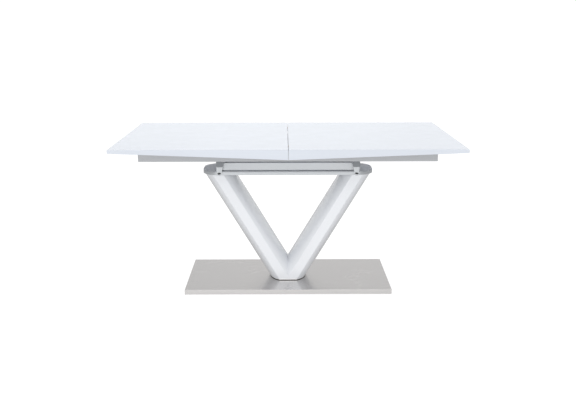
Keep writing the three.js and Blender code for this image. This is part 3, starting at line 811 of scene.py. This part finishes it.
class TABLE_OT_foot_band(bpy.types.Operator):
    """Runs a thin bright metal band round the feet, just above their gasket: a painted highlight along
    the feet's bottom edge
    """

    bl_idname = "table.foot_band"
    bl_label = "Foot band"

    def execute(self, context):
        edges = bpy.context.scene.table_edges
        band = copy_of("foot_gasket", "foot_band")
        low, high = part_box("foot_gasket")
        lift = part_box("left_leg")[0].z + edges.band_lift - low.z
        stretch = edges.band_height / (high.z - low.z)
        grow = 1 + 2 * edges.band_proud / (high.y - low.y)
        for point in band.data.vertices:
            point.co.z = low.z + lift + (point.co.z - low.z) * stretch
            point.co.x *= grow
            point.co.y *= grow
        self.keep_outline(band, edges.hole_reach)
        wall = band.modifiers.new("wall", "SOLIDIFY")
        wall.thickness = 2 * edges.band_proud
        wall.offset = -1
        wall.use_rim = True
        pick(band)
        bpy.ops.object.modifier_apply(modifier=wall.name)
        round_edges(band, 0.35 * edges.band_proud, 40.0, steps=2)
        # the band's finish is a painted highlight along the feet's bottom edge
        put(band, "frame", "brushed_steel", "bright_trim")
        return {"FINISHED"}

    @staticmethod
    def keep_outline(band, hole_reach):
        """Removes the flat faces and the walls of the bolt holes, which lie near the middle."""

        def unwanted(face):
            near = max(abs(face.center.x), abs(face.center.y)) < hole_reach
            return abs(face.normal.z) > 0.9 or near

        select_faces(band, unwanted)
        bpy.ops.mesh.delete(type="FACE")
        bpy.ops.mesh.select_all(action="SELECT")
        bpy.ops.mesh.normals_make_consistent(inside=False)
        bpy.ops.object.mode_set(mode="OBJECT")


class TABLE_OT_base(bpy.types.Operator):
    """Finishes the steel-clad base, its core and its glides"""

    bl_idname = "table.base"
    bl_label = "Base"

    def execute(self, context):
        edges = bpy.context.scene.table_edges
        finish_node("base_cover", edges.cladding)
        finish_node("base_core", edges.profile)
        # the black gasket under the feet gives the dark line under them: painted shade in a dark piece
        finish_node("foot_gasket", edges.small, 40.0)
        for node in nodes_like("base_glide"):
            finish_node(node, 2 * edges.small, 40.0)
        return {"FINISHED"}


class TABLE_OT_carriage(bpy.types.Operator):
    """Finishes the leg plate, rails, cross bars, caps and straps"""

    bl_idname = "table.carriage"
    bl_label = "Carriage"

    def execute(self, context):
        edges = bpy.context.scene.table_edges
        finish_node("leg_plate", edges.plate, finish="plate_paint")
        for node in nodes_like("long_rail"):
            finish_node(node, edges.profile, finish="rail_paint")
        for node in nodes_like("lower_rail", "cross_bar", "strap", "rail_tie", "leaf_stop"):
            if "bolt" not in node:
                finish_node(node, edges.profile)
        return {"FINISHED"}


class TABLE_OT_slides(bpy.types.Operator):
    """Finishes the runners, racks, pinion and their mounts"""

    bl_idname = "table.slides"
    bl_label = "Slides"

    def execute(self, context):
        edges = bpy.context.scene.table_edges
        for node in nodes_like("left_runner", "right_runner", "pinion_bracket", "pinion_axle"):
            finish_node(node, edges.profile, 40.0)
        for node in nodes_like("left_rack", "right_rack", "sync_pinion"):
            finish_node(node, edges.small, 50.0)
        return {"FINISHED"}


class TABLE_OT_latch(bpy.types.Operator):
    """Finishes the hook latch and its two plates"""

    bl_idname = "table.latch"
    bl_label = "Latch"

    def execute(self, context):
        edges = bpy.context.scene.table_edges
        for node in nodes_like("latch"):
            finish_node(node, edges.small, 40.0)
        return {"FINISHED"}


class TABLE_OT_bolts(bpy.types.Operator):
    """Gives each bolt its rounded head and socket"""

    bl_idname = "table.bolts"
    bl_label = "Bolts"

    def execute(self, context):
        fixings = context.scene.table_fixings
        for node in nodes_like("leg_bolt"):
            socket_bolt(node, Vector((0, 0, -1)), fixings.key, "zinc_bolt")
        for node in nodes_like("plate_screw"):
            socket_bolt(node, Vector((0, 0, 1)), fixings.key, "zinc_bolt")
        for node in nodes_like("strap_bolt"):
            out = Vector((0, math.copysign(1, middle(node).y), 0))
            socket_bolt(node, out, fixings.strap_key)
        return {"FINISHED"}


class TABLE_OT_screws(bpy.types.Operator):
    """Adds the small screws that hold the runners, racks and latch under the boards"""

    bl_idname = "table.screws"
    bl_label = "Small screws"

    def execute(self, context):
        fixings = context.scene.table_fixings
        pattern = pan_head("screw_pattern", fixings.screw_radius, fixings.screw_height)
        for node in nodes_like("left_runner", "right_runner"):
            low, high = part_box(node)
            along = [low.x + (high.x - low.x) * share for share in RUNNER_SHARES]
            across = [low.y + fixings.flange_inset, high.y - fixings.flange_inset]
            self.screw_down(pattern, node, along, across, high.z - fixings.flange)
        for node, inward in (("left_rack", 1), ("right_rack", -1)):
            low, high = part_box(node)
            outer = low.x if inward > 0 else high.x
            along = [outer + inward * fixings.rack_first, outer + inward * fixings.rack_second]
            back = high.y if inward > 0 else low.y
            across = [back - inward * fixings.rack_inset]
            self.screw_down(pattern, node, along, across, high.z - fixings.flange)
        for node in ("latch_plate", "latch_strike"):
            low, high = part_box(node)
            along = [low.x + fixings.latch_inset, high.x - fixings.latch_inset]
            across = [low.y + fixings.latch_inset, high.y - fixings.latch_inset]
            self.screw_down(pattern, node, along, across, high.z - fixings.latch_flange)
        bpy.data.objects.remove(pattern)
        return {"FINISHED"}

    @staticmethod
    def screw_down(pattern, node, along, across, under):
        """A screw at each crossing of the two lists, with its head facing down."""
        places = [Vector((x, y, under)) for x in along for y in across]
        down = Vector((0, 0, -1)).to_track_quat("Z", "Y")
        scatter(pattern, node + "_screws", places, down, BODY_OF[node], "zinc_steel", "zinc_bolt")


class TABLE_PT_pieces(bpy.types.Panel):
    """Lists the steps and the sizes they use"""

    bl_idname = "TABLE_PT_pieces"
    bl_label = "Extending table"
    bl_space_type = "VIEW_3D"
    bl_region_type = "UI"
    bl_category = "Table"

    def draw(self, context):
        for step in STEPS:
            self.layout.operator(step.bl_idname)
        for group_name in GROUPS:
            group = getattr(context.scene, group_name)
            for name in group.bl_rna.properties.keys():
                if name not in ("rna_type", "name"):
                    self.layout.prop(group, name)


STEPS = (
    TABLE_OT_stage,
    TABLE_OT_boards,
    TABLE_OT_pedestal,
    TABLE_OT_foot_band,
    TABLE_OT_base,
    TABLE_OT_carriage,
    TABLE_OT_slides,
    TABLE_OT_latch,
    TABLE_OT_bolts,
    TABLE_OT_screws,
)
GROUPS = {
    "table_colours": TableColours,
    "table_edges": TableEdges,
    "table_fixings": TableFixings,
    "table_stage": TableStage,
}


def register():
    for group in GROUPS.values():
        bpy.utils.register_class(group)
    for name, group in GROUPS.items():
        setattr(bpy.types.Scene, name, bpy.props.PointerProperty(type=group))
    for step in STEPS:
        bpy.utils.register_class(step)
    bpy.utils.register_class(TABLE_PT_pieces)


def unregister():
    bpy.utils.unregister_class(TABLE_PT_pieces)
    for step in reversed(STEPS):
        bpy.utils.unregister_class(step)
    for name, group in GROUPS.items():
        delattr(bpy.types.Scene, name)
        bpy.utils.unregister_class(group)


def main():
    register()
    make_finishes()
    bpy.ops.table.stage()
    bpy.ops.table.boards()
    bpy.ops.table.pedestal()
    bpy.ops.table.foot_band()
    bpy.ops.table.base()
    bpy.ops.table.carriage()
    bpy.ops.table.slides()
    bpy.ops.table.latch()
    bpy.ops.table.bolts()
    bpy.ops.table.screws()


if __name__ == "__main__":
    main()
